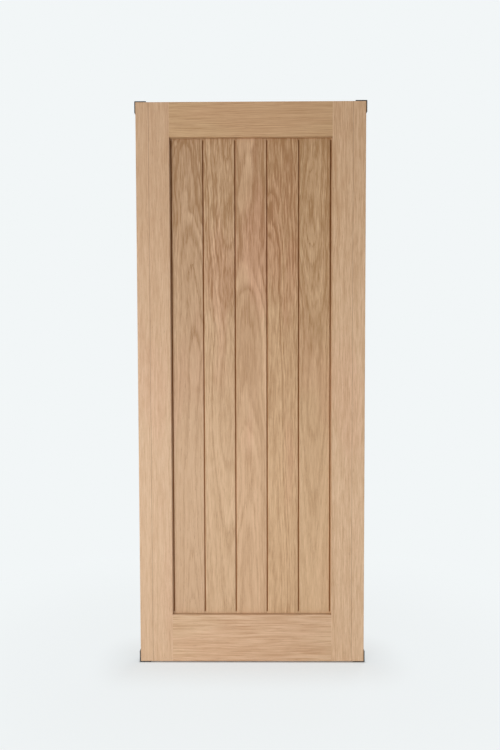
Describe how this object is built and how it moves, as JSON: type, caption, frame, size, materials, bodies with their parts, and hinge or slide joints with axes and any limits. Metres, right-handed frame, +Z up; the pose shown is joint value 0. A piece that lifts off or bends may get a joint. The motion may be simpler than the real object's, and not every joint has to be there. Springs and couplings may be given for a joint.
{
  "type": "entry door leaf",
  "caption": "Solid oak entry door leaf: stiles and rails around a recessed panel of tongue-and-groove boards with stopped V grooves, unhung, with plastic guards on its corners.",
  "frame": {"origin": "on the floor, midway between the two lower corner guards and midway through the thickness", "axes": "+X across the leaf to the right as seen from the front, +Y through it to the back, +Z up"},
  "size_m": [0.834, 0.044, 2.048],
  "materials": {
    "frame_oak": "sanded, unfinished",
    "panel_oak": "sanded, unfinished",
    "dowel_beech": "turned",
    "guard_plastic": "matt",
    "staple_steel": "zinc plated"
  },
  "bodies": {
    "root": {"left_stile": "frame_oak", "right_stile": "frame_oak", "top_rail": "frame_oak", "bottom_rail": "frame_oak", "panel_board_1": "panel_oak", "panel_board_2": "panel_oak", "panel_board_3": "panel_oak", "panel_board_4": "panel_oak", "panel_board_5": "panel_oak", "top_left_dowels": "dowel_beech", "top_right_dowels": "dowel_beech", "bottom_left_dowels": "dowel_beech", "bottom_right_dowels": "dowel_beech", "top_left_guard": "guard_plastic", "top_right_guard": "guard_plastic", "bottom_left_guard": "guard_plastic", "bottom_right_guard": "guard_plastic", "top_left_staples": "staple_steel", "top_right_staples": "staple_steel", "bottom_left_staples": "staple_steel", "bottom_right_staples": "staple_steel"}
  },
  "joints": []
}
